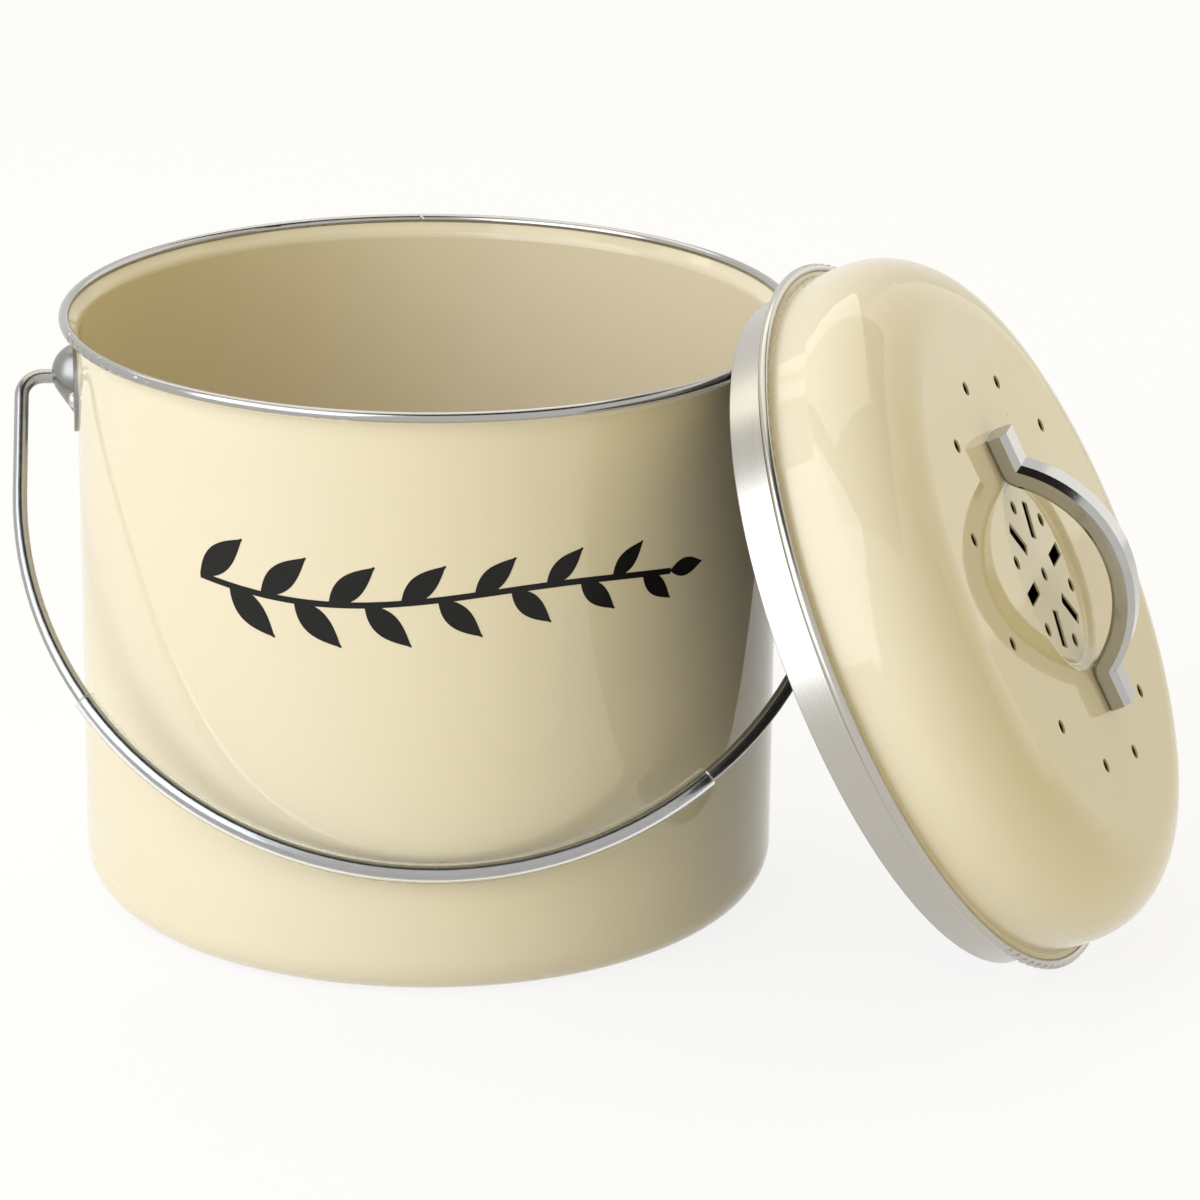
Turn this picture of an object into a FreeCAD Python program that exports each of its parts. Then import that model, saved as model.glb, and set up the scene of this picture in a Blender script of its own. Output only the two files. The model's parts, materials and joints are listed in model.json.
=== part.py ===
"""Kitchen compost bin: a cream enamelled steel pail with a wire bail, and its vented lid.

The lid is off and leans against the rim, to the right of the pail, standing on the floor.
Frame: origin at the middle of the flat base, +Z up, +X along the bail's pivot axis towards the
right ear, and the front of the pail faces -Y.  Lengths are in millimetres, angles in degrees.
"""
import FreeCAD
import Part
import Sketcher
import math
import os
import re
from FreeCAD import Placement, Rotation, Vector

SIZES = {
    # Pail shell and its steel rim trim
    "bin_height": 167.0,
    "wall_diameter": 195.6,
    "shell_thickness": 0.8,
    "base_corner_radius": 11.5,
    "lip_angle": 45.0,
    "lip_bend_radius": 2.0,
    "lip_reach": 3.25,
    "trim_diameter": 2.9,
    "trim_grip": 0.3,
    "trim_play": 0.05,
    "trim_joint_gap": 0.4,
    # Bail ears, pressed from sheet, and their rivets
    "ear_drop": 19.6,
    "ear_sheet": 1.0,
    "ear_flange_diameter": 26.0,
    "ear_flange_drop": 2.5,
    "ear_dome_diameter": 17.0,
    "ear_dome_rise": 7.0,
    "ear_dome_lift": 1.0,
    "ear_tail_length": 15.5,
    "rivet_spread": 19.0,
    "rivet_drop": 4.0,
    "rivet_shank_diameter": 2.4,
    "rivet_head_diameter": 4.4,
    "rivet_head_height": 1.4,
    "rivet_crown_radius": 1.2,
    "rivet_tail_diameter": 4.0,
    "rivet_tail_height": 0.8,
    "rivet_tail_edge_radius": 0.3,
    "rivet_play": 0.05,
    # Bail wire and its clear tube grip
    "wire_diameter": 4.0,
    "wire_hole_play": 0.25,
    "wire_head_diameter": 6.6,
    "wire_head_length": 1.6,
    "wire_head_setback": 1.4,
    "bail_stand_off": 15.2,
    "bail_bend_radius": 6.0,
    "bail_leg_length": 35.5,
    "sleeve_diameter": 6.0,
    "sleeve_bore_play": 0.1,
    "sleeve_half_angle": 48.5,
    "sleeve_slide": 8.2,
    # Lid: steel band with its bead, and the enamelled dome
    "lid_play": 0.3,
    "band_thickness": 0.6,
    "band_depth": 11.2,
    "bead_diameter": 2.9,
    "dome_setback": 4.0,
    "dome_height": 34.0,
    "dome_thickness": 0.6,
    "shoulder_radius": 22.8,
    "cove_radius": 0.4,
    "dome_grip": 0.9,
    "dome_grip_play": 0.05,
    # Shallow dish in the middle of the dome's top
    "dish_diameter": 56.4,
    "dish_depth": 2.0,
    "dish_slope_width": 2.0,
    "dish_edge_radius": 1.2,
    # Vent holes in the top of the dome
    "vent_hole_diameter": 4.0,
    "vent_ring_diameter": 112.2,
    "vent_ring_count": 12,
    "vent_inner_diameter": 41.0,
    "vent_inner_count": 6,
    "slot_width": 4.1,
    "slot_inner_radius": 10.5,
    "slot_length": 10.8,
    "slot_corner_radius": 0.5,
    # Lid handle: a bevelled bar, screwed on from inside
    "handle_length": 83.0,
    "handle_rise": 22.2,
    "bar_width": 11.0,
    "bar_thickness": 6.2,
    "bar_bevel": 1.75,
    "bar_under_bevel": 1.0,
    "arch_radius": 33.0,
    "foot_bend_radius": 6.0,
    "screw_inset": 5.5,
    "screw_diameter": 4.0,
    "screw_depth": 4.4,
    "screw_end_gap": 0.3,
    "screw_play": 0.05,
    "screw_head_diameter": 7.2,
    "screw_head_height": 2.4,
    "screw_head_edge_radius": 1.0,
    "washer_diameter": 9.0,
    "washer_thickness": 0.8,
    "washer_play": 0.2,
    # Charcoal filter and the plastic ring that holds it in the dome
    "filter_play": 3.7,
    "filter_thickness": 8.0,
    "filter_edge_radius": 2.0,
    "retainer_play": 0.4,
    "retainer_thickness": 2.5,
    "retainer_rim_width": 7.0,
    "retainer_hub_diameter": 34.0,
    "retainer_hub_width": 4.0,
    "retainer_spoke_width": 4.0,
    "retainer_spoke_count": 6,
    # How the loose lid leans, and the clearance between parts that move apart
    "lean_tilt": 26.5,
    "lean_azimuth": -19.1,
    "lean_spin": 2.0,
    "rest_gap": 0.3,
}
FULL_TURN = 360.0
HALF_TURN = 180.0
QUARTER_TURN = 90.0

# How finely the leaning lid is tried against the pail
ROUND_STEPS = 720
WALL_STEPS = 3
BAIL_STEPS = 90
CLOSE_ENOUGH = 0.001

# Sizes worked out from the driving ones, written as formulas
WALL_RADIUS = "wall_diameter / 2"
MOUTH_RADIUS = f"({WALL_RADIUS} - shell_thickness)"
TRIM_X = f"({WALL_RADIUS} + lip_reach)"
RIM_RADIUS = f"({TRIM_X} + trim_diameter / 2)"
TRIM_Z = "(bin_height - trim_diameter / 2)"
EAR_Z = "(bin_height - ear_drop)"
EAR_FACE = f"({WALL_RADIUS} + ear_sheet)"
EAR_DOME_X = f"({WALL_RADIUS} + ear_dome_rise - ear_dome_diameter / 2)"
RIVET_Z = f"({EAR_Z} - rivet_drop)"
WIRE_END_X = f"({WALL_RADIUS} + wire_head_setback)"
LEG_X = f"({WALL_RADIUS} + bail_stand_off)"
BAIL_REACH = f"(bail_leg_length + {LEG_X})"
BAND_RADIUS = f"({MOUTH_RADIUS} - lid_play)"
BEAD_X = f"({RIM_RADIUS} - bead_diameter / 2)"
BEAD_Z = "(band_depth + bead_diameter / 2)"
DOME_RADIUS = f"({RIM_RADIUS} - dome_setback)"
DOME_FOOT_Z = f"({BEAD_Z} + band_thickness / 2)"
DOME_TOP_Z = f"({BEAD_Z} + dome_height)"
DOME_INSIDE_Z = f"({DOME_TOP_Z} - dome_thickness)"
DISH_RADIUS = "(dish_diameter / 2)"
DISH_FLOOR_RADIUS = f"({DISH_RADIUS} - dish_slope_width)"
# How far the dish's corners step out on the underside, so that its slope keeps the sheet's thickness
DISH_STEP = "(dome_thickness * (sqrt(dish_depth^2 + dish_slope_width^2) - dish_slope_width) / dish_depth)"
SCREW_X = "(handle_length / 2 - screw_inset)"
RETAINER_RADIUS = f"({DOME_RADIUS} - dome_thickness - retainer_play)"
FILTER_Z = f"({DOME_FOOT_Z} + retainer_thickness)"
FILTER_RADIUS = f"({DOME_RADIUS} - dome_thickness - filter_play)"

doc = FreeCAD.newDocument("compost_bin")
sheet = doc.addObject("Spreadsheet::Sheet", "Sizes")
for row, (alias, number) in enumerate(SIZES.items(), start=1):
    sheet.set(f"A{row}", alias)
    sheet.set(f"B{row}", str(number))
    sheet.setAlias(f"B{row}", alias)
doc.recompute()
parts = []


def in_sheet(formula):
    """The formula with every size written as a cell of the sheet."""
    return re.sub(r"[a-z_]+", lambda word: f"Sizes.{word[0]}" if word[0] in SIZES else word[0], formula)


def size(formula):
    """The number that a formula gives."""
    return float(sheet.evalExpression(in_sheet(formula)))


def bind(item, place, formula):
    """Tie a property of an object to the sheet."""
    item.setExpression(place, in_sheet(formula))


def finish(item, label, placement=None):
    """Name a finished sub-part, place it and list it for writing."""
    item.Label = label
    if placement is not None:
        item.Placement = placement
    parts.append(item)
    return item


# Sketch helpers

def new_body(name):
    return doc.addObject("PartDesign::Body", name)


def new_sketch(body, name, plane, offset=None):
    """A sketch on one of the body's origin planes, moved along that plane's normal by an offset."""
    sketch = body.newObject("Sketcher::SketchObject", name)
    support = next(item for item in body.Origin.OriginFeatures if item.Role == plane)
    sketch.AttachmentSupport = [(support, "")]
    sketch.MapMode = "FlatFace"
    if offset is not None:
        bind(sketch, "AttachmentOffset.Base.z", offset)
        doc.recompute()
    return sketch


def dimension(sketch, kind, *targets, formula):
    """A dimension tied to the sheet."""
    index = sketch.addConstraint(Sketcher.Constraint(kind, *targets, size(formula)))
    bind(sketch, f"Constraints[{index}]", formula)


def pin_point(sketch, geometry, position, x, y):
    """Hold a point at formulas x, y from the sketch origin."""
    for axis, kind, formula in ((-2, "DistanceX", x), (-1, "DistanceY", y)):
        if formula == "0":
            sketch.addConstraint(Sketcher.Constraint("PointOnObject", geometry, position, axis))
        else:
            dimension(sketch, kind, -1, 1, geometry, position, formula=formula)


def add_line(sketch, start, end):
    return sketch.addGeometry(Part.LineSegment(start, end), False)


def add_arc(sketch, centre, start, end, leftward):
    """An arc from start to end; gives its number and which of its ends is the start and the end."""
    first, last = (start, end) if leftward else (end, start)
    angles = [math.atan2(point.y - centre.y, point.x - centre.x) for point in (first, last)]
    circle = Part.Circle(centre, Vector(0, 0, 1), (start - centre).Length)
    arc = sketch.addGeometry(Part.ArcOfCircle(circle, angles[0], angles[1]), False)
    return (arc, 1, 2) if leftward else (arc, 2, 1)


def tangent(sketch, first, first_end, second, second_end):
    sketch.addConstraint(Sketcher.Constraint("Tangent", first, first_end, second, second_end))


def rounded_corner(sketch, before, corner, after, radius):
    """The arc that rounds a corner, with a construction point at the corner itself."""
    back = (before - corner).normalize()
    ahead = (after - corner).normalize()
    half = back.getAngle(ahead) / 2
    start = corner + back * (radius / math.tan(half))
    end = corner + ahead * (radius / math.tan(half))
    centre = corner + (back + ahead).normalize() * (radius / math.sin(half))
    leftward = (corner - before).cross(after - corner).z > 0
    point = sketch.addGeometry(Part.Point(corner), True)
    arc = add_arc(sketch, centre, start, end, leftward)
    return {"arc": arc, "point": point, "start": start, "end": end}


def outline(sketch, corners):
    """A closed outline through corners, each (x, y) or (x, y, radius) as formulas."""
    spots = [Vector(size(corner[0]), size(corner[1]), 0) for corner in corners]
    count = len(corners)
    rounds = []
    for index, corner in enumerate(corners):
        if len(corner) == 2:
            rounds.append(None)
            continue
        around = spots[index - 1], spots[index], spots[(index + 1) % count]
        rounds.append(rounded_corner(sketch, *around, size(corner[2])))
    lines = []
    for index in range(count):
        after = (index + 1) % count
        start = rounds[index]["end"] if rounds[index] else spots[index]
        end = rounds[after]["start"] if rounds[after] else spots[after]
        lines.append(add_line(sketch, start, end))
    for index, corner in enumerate(corners):
        before, after = lines[index - 1], lines[index]
        if rounds[index] is None:
            sketch.addConstraint(Sketcher.Constraint("Coincident", before, 2, after, 1))
            pin_point(sketch, after, 1, corner[0], corner[1])
            continue
        arc, entry, leave = rounds[index]["arc"]
        point = rounds[index]["point"]
        tangent(sketch, before, 2, arc, entry)
        tangent(sketch, arc, leave, after, 1)
        for line in (before, after):
            sketch.addConstraint(Sketcher.Constraint("PointOnObject", point, 1, line))
        pin_point(sketch, point, 1, corner[0], corner[1])
        dimension(sketch, "Radius", arc, formula=corner[2])


def circle(sketch, x, y, radius):
    """A circle, held at formulas x, y."""
    place = Vector(size(x), size(y), 0)
    ring = sketch.addGeometry(Part.Circle(place, Vector(0, 0, 1), size(radius)), False)
    pin_point(sketch, ring, 3, x, y)
    dimension(sketch, "Radius", ring, formula=radius)


# Feature helpers

def turned(body, name, corners, kind="Revolution"):
    """Turn an outline of (radius, height) corners about the body's Z axis, to add or to cut."""
    sketch = new_sketch(body, f"{name}_profile", "XZ_Plane")
    outline(sketch, corners)
    return turn_sketch(body, name, sketch, kind)


def turn_sketch(body, name, sketch, kind="Revolution", angle=FULL_TURN):
    feature = body.newObject(f"PartDesign::{kind}", name)
    feature.Profile = sketch
    feature.ReferenceAxis = (sketch, ["V_Axis"])
    feature.Angle = angle
    doc.recompute()
    return feature


def drill(body, name, radius, length, placement):
    """A round hole along a placement's Z axis."""
    hole = body.newObject("PartDesign::SubtractiveCylinder", name)
    bind(hole, "Radius", radius)
    bind(hole, "Height", length)
    hole.Placement = placement
    doc.recompute()


def cut_through(body, sketch, name):
    """Cut a sketch on the XY plane upwards through the whole body."""
    pocket = body.newObject("PartDesign::Pocket", name)
    pocket.Profile = sketch
    pocket.Type = "ThroughAll"
    pocket.Reversed = True
    doc.recompute()
    return pocket


def repeat_round(body, feature, sketch, name, count):
    """Repeat a feature evenly about the body's Z axis."""
    pattern = body.newObject("PartDesign::PolarPattern", name)
    pattern.Originals = [feature]
    pattern.Axis = (sketch, ["N_Axis"])
    pattern.Angle = FULL_TURN
    bind(pattern, "Occurrences", count)
    body.Tip = pattern
    doc.recompute()


def swept(body, name, section, path):
    """Carry a section along a path."""
    pipe = body.newObject("PartDesign::AdditivePipe", name)
    pipe.Profile = section
    pipe.Spine = path
    doc.recompute()
    return pipe


def solid(kind, name, placement=None, **formulas):
    """A simple solid with its sizes tied to the sheet."""
    item = doc.addObject(f"Part::{kind}", name)
    for place, formula in formulas.items():
        bind(item, place, formula)
    if placement is not None:
        item.Placement = placement
    return item


def fused(name, items):
    union = doc.addObject("Part::MultiFuse", name)
    union.Shapes = items
    return union


def along(direction, base=Vector()):
    """A placement at a point, with its Z axis along a direction."""
    return Placement(base, Rotation(Vector(0, 0, 1), direction))


def on_lip(forward, across):
    """A point of the lip, by its distance along and across the sheet from the trim's centre."""
    return (
        f"{TRIM_X} + ({forward}) * sin(lip_angle) + ({across}) * cos(lip_angle)",
        f"{TRIM_Z} + ({forward}) * cos(lip_angle) - ({across}) * sin(lip_angle)",
    )


def lip_bend(radius, across):
    """Where the lip's sheet surface leaves the wall's surface of the same side."""
    run_out = f"({TRIM_X} + ({across}) * cos(lip_angle) - {radius})"
    return radius, f"{TRIM_Z} - ({across}) * sin(lip_angle) - {run_out} / tan(lip_angle)"


# Pail

def rivet_directions():
    """Each rivet's name and the way its axis points, outwards through the wall."""
    half_angle = math.asin(size("rivet_spread") / 2 / size(EAR_FACE))
    for side, facing in (("right", 0.0), ("left", math.pi)):
        for place, turn in (("front", -half_angle), ("rear", half_angle)):
            angle = facing + (turn if side == "right" else -turn)
            yield f"{side}_ear_{place}_rivet", Vector(math.cos(angle), math.sin(angle), 0)


def make_bin_shell():
    """One deep-drawn pail: flat base, round corner, straight wall and a lip turned out at 45 degrees."""
    body = new_body("bin_shell")
    half = "shell_thickness / 2"
    turned(body, "shell_turning", [
        ("0", "0"),
        (WALL_RADIUS, "0", "base_corner_radius"),
        (*lip_bend(WALL_RADIUS, half), "lip_bend_radius"),
        on_lip("trim_grip", half),
        on_lip("trim_grip", f"-{half}"),
        (*lip_bend(MOUTH_RADIUS, f"-{half}"), "lip_bend_radius + shell_thickness"),
        (MOUTH_RADIUS, "shell_thickness", "base_corner_radius - shell_thickness"),
        ("0", "shell_thickness"),
    ])
    for name, direction in rivet_directions():
        hole = along(direction, Vector(0, 0, size(RIVET_Z)))
        drill(body, f"{name}_hole", "rivet_shank_diameter / 2 + rivet_play", RIM_RADIUS, hole)
    finish(body, "bin_shell")


def make_rim_trim():
    """A steel bead that grips the lip's edge all round, with its butt joint at the back."""
    body = new_body("rim_trim")
    ring = new_sketch(body, "trim_section", "XZ_Plane")
    circle(ring, TRIM_X, TRIM_Z, "trim_diameter / 2")
    turn_sketch(body, "trim_turning", ring)
    side = "(shell_thickness / 2 + trim_play)"
    turned(body, "trim_slot", [
        on_lip("trim_grip + trim_play", side),
        on_lip("trim_grip + trim_play", f"-{side}"),
        on_lip("-trim_diameter", f"-{side}"),
        on_lip("-trim_diameter", side),
    ], "Groove")
    joint = body.newObject("PartDesign::SubtractiveBox", "trim_joint")
    bind(joint, "Length", "trim_joint_gap")
    bind(joint, "Width", RIM_RADIUS)
    bind(joint, "Height", "bin_height")
    joint.Placement.Base.x = -size("trim_joint_gap / 2")
    doc.recompute()
    finish(body, "rim_trim")


def ear_drop_shape(name, sheet_inset):
    """The ear's drop-shaped boss: a ball that runs down into a point, shrunk by an inset."""
    radius = f"(ear_dome_diameter / 2 - {sheet_inset})"
    tail = f"({radius} * ear_tail_length / (ear_dome_diameter / 2))"
    centre = Vector(size(EAR_DOME_X), 0, size(f"{EAR_Z} + ear_dome_lift"))
    ball = solid("Sphere", f"{name}_ball", Placement(centre, Rotation()), Radius=radius)
    tip = centre - Vector(0, 0, size(tail))
    cone = solid(
        "Cone", f"{name}_tail", Placement(tip, Rotation()),
        Radius1="0",
        Radius2=f"{radius} * sqrt(1 - ({radius} / {tail})^2)",
        Height=f"{tail} - {radius}^2 / {tail}",
    )
    return [ball, cone]


def make_bail_ear(side, turn):
    """A round pressed ear: a flange bent to the wall and a hollow drop-shaped boss for the wire's end."""
    outward = Vector(1, 0, 0)
    disc_place = along(outward, Vector(0, 0, size(f"{EAR_Z} - ear_flange_drop")))
    disc_radius = "ear_flange_diameter / 2"
    disc = solid("Cylinder", f"{side}_ear_disc", disc_place, Radius=disc_radius, Height=LEG_X)
    sheet_round = solid("Cylinder", f"{side}_ear_sheet", Radius=EAR_FACE, Height="bin_height")
    flange = doc.addObject("Part::Common", f"{side}_ear_flange")
    flange.Base = disc
    flange.Tool = sheet_round
    pressed = fused(f"{side}_ear_pressing", [flange] + ear_drop_shape(f"{side}_ear_outside", "0"))
    cutters = [solid("Cylinder", f"{side}_ear_wall", Radius=WALL_RADIUS, Height="bin_height")]
    cutters += ear_drop_shape(f"{side}_ear_inside", "ear_sheet")
    axis = along(outward, Vector(0, 0, size(EAR_Z)))
    hole = "wire_diameter / 2 + wire_hole_play"
    cutters.append(solid("Cylinder", f"{side}_ear_wire_hole", axis, Radius=hole, Height=LEG_X))
    for name, direction in rivet_directions():
        if name.startswith("right"):
            place = along(direction, Vector(0, 0, size(RIVET_Z)))
            radius = "rivet_shank_diameter / 2 + rivet_play"
            hole_name = f"{side}_{name}_hole"
            cutters.append(solid("Cylinder", hole_name, place, Radius=radius, Height=LEG_X))
    ear = doc.addObject("Part::Cut", f"{side}_bail_ear")
    ear.Base = pressed
    ear.Tool = fused(f"{side}_ear_cutters", cutters)
    finish(ear, f"{side}_bail_ear", Placement(Vector(), Rotation(Vector(0, 0, 1), turn)))


def make_rivet(name, direction):
    """A round-headed rivet through the ear's flange and the wall, spread flat inside."""
    body = new_body(name)
    grip = "(ear_sheet + shell_thickness + rivet_play)"
    turned(body, f"{name}_turning", [
        ("0", "rivet_head_height"),
        ("rivet_head_diameter / 2", "rivet_head_height", "rivet_crown_radius"),
        ("rivet_head_diameter / 2", "rivet_play"),
        ("rivet_shank_diameter / 2", "rivet_play"),
        ("rivet_shank_diameter / 2", f"-{grip}"),
        ("rivet_tail_diameter / 2", f"-{grip}"),
        ("rivet_tail_diameter / 2", f"-{grip} - rivet_tail_height", "rivet_tail_edge_radius"),
        ("0", f"-{grip} - rivet_tail_height"),
    ])
    seat = direction * size(EAR_FACE) + Vector(0, 0, size(RIVET_Z))
    finish(body, name, along(direction, seat))


# Bail, built standing straight up from its pivot axis

def bail_placement():
    """The bail hangs in front, where its grip meets the wall."""
    touch = size(f"{WALL_RADIUS} + sleeve_diameter / 2 + rest_gap")
    lean = math.degrees(math.asin(touch / size(BAIL_REACH)))
    return Placement(Vector(0, 0, size(EAR_Z)), Rotation(Vector(1, 0, 0), HALF_TURN - lean))


def bail_path(body):
    """The wire's centre line: out of one ear, round a bend, over the crown and into the other ear."""
    path = new_sketch(body, "wire_path", "XZ_Plane")
    end, leg = size(WIRE_END_X), size(LEG_X)
    bend, rise = size("bail_bend_radius"), size("bail_leg_length")
    crown, left, right = Vector(0, rise, 0), Vector(-leg, rise, 0), Vector(leg, rise, 0)
    run_in = add_line(path, Vector(-end, 0, 0), Vector(bend - leg, 0, 0))
    first = add_arc(path, Vector(bend - leg, bend, 0), Vector(bend - leg, 0, 0),
                    Vector(-leg, bend, 0), False)
    left_leg = add_line(path, Vector(-leg, bend, 0), left)
    over = add_arc(path, crown, left, right, False)
    right_leg = add_line(path, right, Vector(leg, bend, 0))
    last = add_arc(path, Vector(leg - bend, bend, 0), Vector(leg, bend, 0),
                   Vector(leg - bend, 0, 0), False)
    run_out = add_line(path, Vector(leg - bend, 0, 0), Vector(end, 0, 0))
    joints = (
        (run_in, 2, first[0], first[1]), (first[0], first[2], left_leg, 1),
        (left_leg, 2, over[0], over[1]), (over[0], over[2], right_leg, 1),
        (right_leg, 2, last[0], last[1]), (last[0], last[2], run_out, 1),
    )
    for joint in joints:
        tangent(path, *joint)
    pin_point(path, run_in, 1, f"-{WIRE_END_X}", "0")
    pin_point(path, run_out, 2, WIRE_END_X, "0")
    for line, position in ((run_in, 2), (run_out, 1)):
        path.addConstraint(Sketcher.Constraint("PointOnObject", line, position, -1))
    for line in (left_leg, right_leg):
        path.addConstraint(Sketcher.Constraint("Vertical", line))
    for arc in (first[0], last[0]):
        dimension(path, "Radius", arc, formula="bail_bend_radius")
    dimension(path, "Radius", over[0], formula=LEG_X)
    pin_point(path, over[0], 3, "0", "bail_leg_length")
    return path


def make_bail_wire(placement):
    """A round steel wire with both ends upset into heads that hold it in the ears."""
    body = new_body("bail_wire")
    path = bail_path(body)
    section = new_sketch(body, "wire_section", "YZ_Plane", f"-{WIRE_END_X}")
    circle(section, "0", "0", "wire_diameter / 2")
    swept(body, "wire_run", section, path)
    for side, start in (("left", f"-{WIRE_END_X} - wire_head_length"), ("right", WIRE_END_X)):
        head = body.newObject("PartDesign::AdditiveCylinder", f"{side}_wire_head")
        bind(head, "Radius", "wire_head_diameter / 2")
        bind(head, "Height", "wire_head_length")
        head.Placement = along(Vector(1, 0, 0), Vector(size(start), 0, 0))
        doc.recompute()
    finish(body, "bail_wire", placement)


def make_grip_sleeve(placement):
    """A clear tube round the crown of the bail, slid a little way to the left."""
    body = new_body("grip_sleeve")
    section = new_sketch(body, "sleeve_section", "XY_Plane")
    circle(section, LEG_X, "0", "sleeve_diameter / 2")
    circle(section, LEG_X, "0", "wire_diameter / 2 + sleeve_bore_play")
    tube = turn_sketch(body, "sleeve_turning", section)
    tube.Midplane = True
    bind(tube, "Angle", "2 * sleeve_half_angle")
    doc.recompute()
    # The tube is made about +X, and a quarter turn and its slide bring its middle up beside the crown
    to_crown = Rotation(Vector(0, 1, 0), -QUARTER_TURN - size("sleeve_slide"))
    crown = Placement(Vector(0, 0, size("bail_leg_length")), to_crown)
    finish(body, "grip_sleeve", placement.multiply(crown))


# Lid, built with its axis upright and the band's free edge at zero height

def bail_points(hanging):
    """Points along the hanging bail, each with the radius of the wire or of the grip round it."""
    leg, rise = size(LEG_X), size("bail_leg_length")
    wire, grip = size("wire_diameter / 2"), size("sleeve_diameter / 2")
    covered, slide = math.radians(size("sleeve_half_angle")), math.radians(size("sleeve_slide"))
    for step in range(BAIL_STEPS + 1):
        share = step / BAIL_STEPS
        for side in (-leg, leg):
            yield hanging.multVec(Vector(side, 0, rise * share)), wire
        turn = math.pi * (share - 1 / 2)
        crown = Vector(leg * math.sin(turn), 0, rise + leg * math.cos(turn))
        yield hanging.multVec(crown), grip if abs(turn + slide) < covered else wire


def pail_balls(hanging):
    """Balls that stand for all that the lid can lean on: rim, wall, right ear and hanging bail."""
    up = Vector(0, 0, 1)
    balls = list(bail_points(hanging))
    ear = Vector(size(EAR_DOME_X), 0, size(f"{EAR_Z} + ear_dome_lift"))
    balls.append((ear, size("ear_dome_diameter / 2")))
    for direction in dict(rivet_directions()).values():
        seat = direction * size(EAR_FACE) + up * size(RIVET_Z)
        balls.append((seat, size("rivet_head_diameter / 2")))
    for step in range(ROUND_STEPS):
        turn = math.radians(FULL_TURN * step / ROUND_STEPS)
        outward = Vector(math.cos(turn), math.sin(turn), 0)
        balls.append((outward * size(TRIM_X) + up * size(TRIM_Z), size("trim_diameter / 2")))
        for level in range(WALL_STEPS):
            balls.append((outward * size(WALL_RADIUS) + up * (size(TRIM_Z) * level / WALL_STEPS), 0.0))
    return balls


def lid_section():
    """The lid's outline as runs of (radius, height), each with the half thickness to add round it."""
    inside, band, bead = size(f"{BAND_RADIUS} - band_thickness"), size(BAND_RADIUS), size(BEAD_X)
    ceiling, flange, bead_z = size(DOME_FOOT_Z), size(f"{BEAD_Z} - band_thickness / 2"), size(BEAD_Z)
    dome, top = size(DOME_RADIUS), size(DOME_TOP_Z)
    corners = [(0.0, ceiling), (inside, ceiling), (inside, 0.0),
               (band, 0.0), (band, flange), (bead, flange)]
    runs = [(start, end, 0.0) for start, end in zip(corners, corners[1:])]
    runs.append(((bead, bead_z), (bead, bead_z), size("bead_diameter / 2")))
    runs.append(((dome, bead_z), (dome, top), 0.0))
    runs.append(((dome, top), (0.0, top), 0.0))
    return runs


def run_distance(radius, level, start, end):
    """How far a point of the section lies from one run of the outline."""
    across, along_run = end[0] - start[0], end[1] - start[1]
    squared = across * across + along_run * along_run
    share = 0.0
    if squared > 0:
        share = ((radius - start[0]) * across + (level - start[1]) * along_run) / squared
    share = min(max(share, 0.0), 1.0)
    return math.hypot(radius - start[0] - share * across, level - start[1] - share * along_run)


def lid_gap(origin, axis, balls, runs):
    """The least gap between the lid, with its band's edge centred at an origin, and the balls."""
    least = math.inf
    for centre, ball in balls:
        offset = centre - origin
        level = offset.dot(axis)
        radius = math.sqrt(max(offset.dot(offset) - level * level, 0.0))
        for start, end, thick in runs:
            least = min(least, run_distance(radius, level, start, end) - thick - ball)
    return least


def lid_placement(hanging):
    """The lid stands on the floor and is brought in towards the pail until it meets what it leans on."""
    tilt, azimuth = math.radians(size("lean_tilt")), math.radians(size("lean_azimuth"))
    up = Vector(0, 0, 1)
    level = Vector(math.cos(azimuth), math.sin(azimuth), 0)
    axis = level * math.cos(tilt) + up * math.sin(tilt)
    upslope = up * math.cos(tilt) - level * math.sin(tilt)
    band_foot = size(BAND_RADIUS) * math.cos(tilt)
    bead_foot = size(BEAD_X) * math.cos(tilt) + size("bead_diameter / 2") - size(BEAD_Z) * math.sin(tilt)
    height = max(band_foot, bead_foot) + size("rest_gap")
    reach = size(f"{LEG_X} + {RIM_RADIUS} * 2")
    balls, runs = pail_balls(hanging), lid_section()
    spare = math.inf
    while spare > CLOSE_ENOUGH:
        # Coming in by the gap that is left can't overshoot
        spare = lid_gap(level * reach + up * height, axis, balls, runs) - size("rest_gap")
        reach -= spare
    turn = Rotation(upslope, axis.cross(upslope), axis, "ZXY")
    spin = Rotation(up, size("lean_spin"))
    return Placement(level * reach + up * height, turn.multiply(spin))


def make_lid_band(placement):
    """The steel band that drops into the mouth, and the bead that rests on the rim."""
    body = new_body("lid_band")
    low, high = f"{BEAD_Z} - band_thickness / 2", f"{BEAD_Z} + band_thickness / 2"
    inside = f"{BAND_RADIUS} - band_thickness"
    turned(body, "band_turning", [
        (inside, "0"),
        (BAND_RADIUS, "0"),
        (BAND_RADIUS, low),
        (BEAD_X, low),
        (BEAD_X, high),
        (inside, high, "band_thickness"),
    ])
    bead = new_sketch(body, "bead_section", "XZ_Plane")
    circle(bead, BEAD_X, BEAD_Z, "bead_diameter / 2")
    turn_sketch(body, "bead_turning", bead)
    grip = f"{BEAD_X} - bead_diameter / 2 + dome_grip + dome_grip_play"
    ceiling = f"{DOME_FOOT_Z} + dome_thickness + dome_grip_play"
    turned(body, "bead_groove", [
        (inside, high), (grip, high), (grip, ceiling), (inside, ceiling),
    ], "Groove")
    finish(body, "lid_band", placement)


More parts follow.
